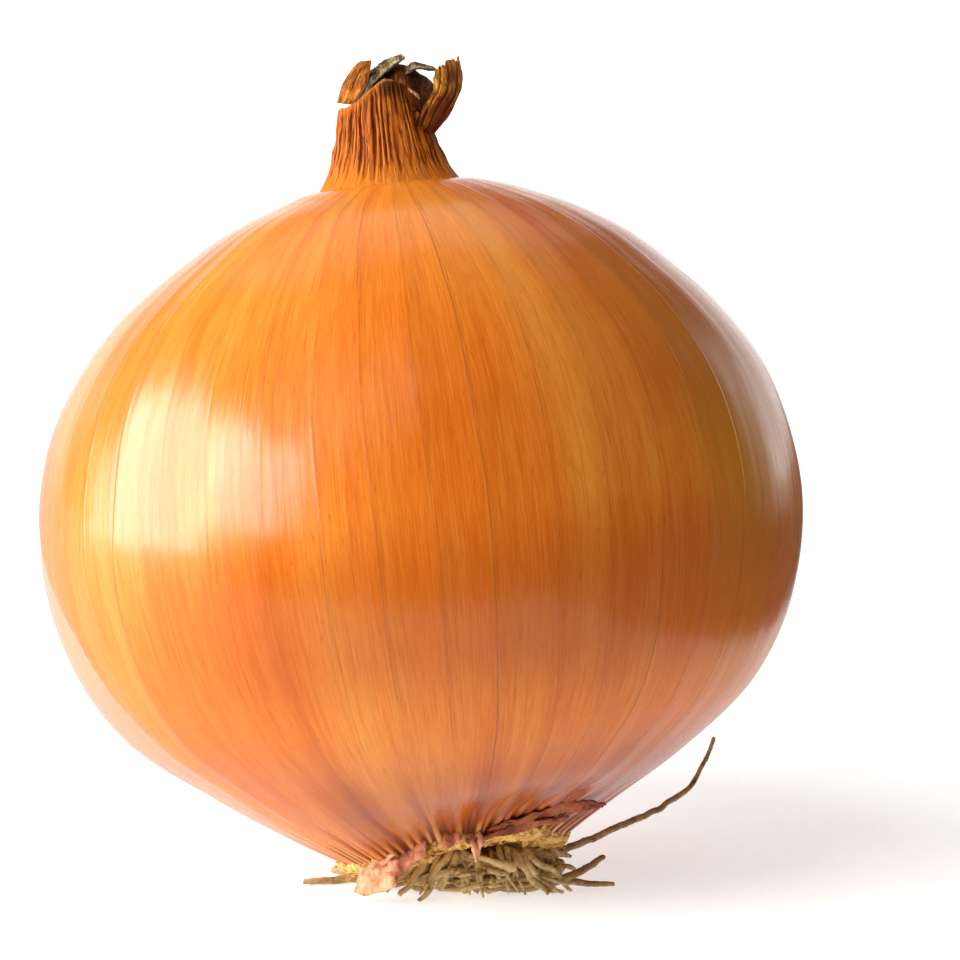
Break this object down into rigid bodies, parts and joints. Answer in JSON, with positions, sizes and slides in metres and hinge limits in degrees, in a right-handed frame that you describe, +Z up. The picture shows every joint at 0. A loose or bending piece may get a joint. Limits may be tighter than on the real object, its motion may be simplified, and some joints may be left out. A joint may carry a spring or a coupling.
{
  "type": "onion",
  "caption": "Whole yellow onion with a dry pleated neck, torn leaf ends, glossy skin, a corky root plate and a dry root tuft that it stands on.",
  "frame": {"origin": "middle of the flat underside of the root tuft, on the surface that the onion rests on", "axes": "+Z up from the resting surface, -Y towards the viewer of the front, +X to the viewer's right; the bulb's own axis leans 6 degrees towards -X and 7.5 degrees towards +Y"},
  "size_m": [0.0814, 0.0817, 0.0891],
  "materials": {
    "bulb_skin": "dry golden-brown onion skin over a firm bulb, glossy, with fine grain and darker veins from neck to root",
    "neck_leaf": "dry, wrinkled, matt brown leaf ends, nearly black inside",
    "root_plate_cork": "rough, matt, yellow-tan cork",
    "torn_skin": "thin pinkish papery skin, matt",
    "dry_roots": "dry, wiry, olive-brown roots, matt"
  },
  "bodies": {
    "root": {"bulb": "bulb_skin", "neck_leaf_left": "neck_leaf", "neck_leaf_cap": "neck_leaf", "neck_leaf_right": "neck_leaf", "root_plate": "root_plate_cork", "skin_tongue": "torn_skin", "skin_scrap_front": "torn_skin", "skin_scrap_middle": "torn_skin", "roots": "dry_roots"}
  },
  "joints": []
}
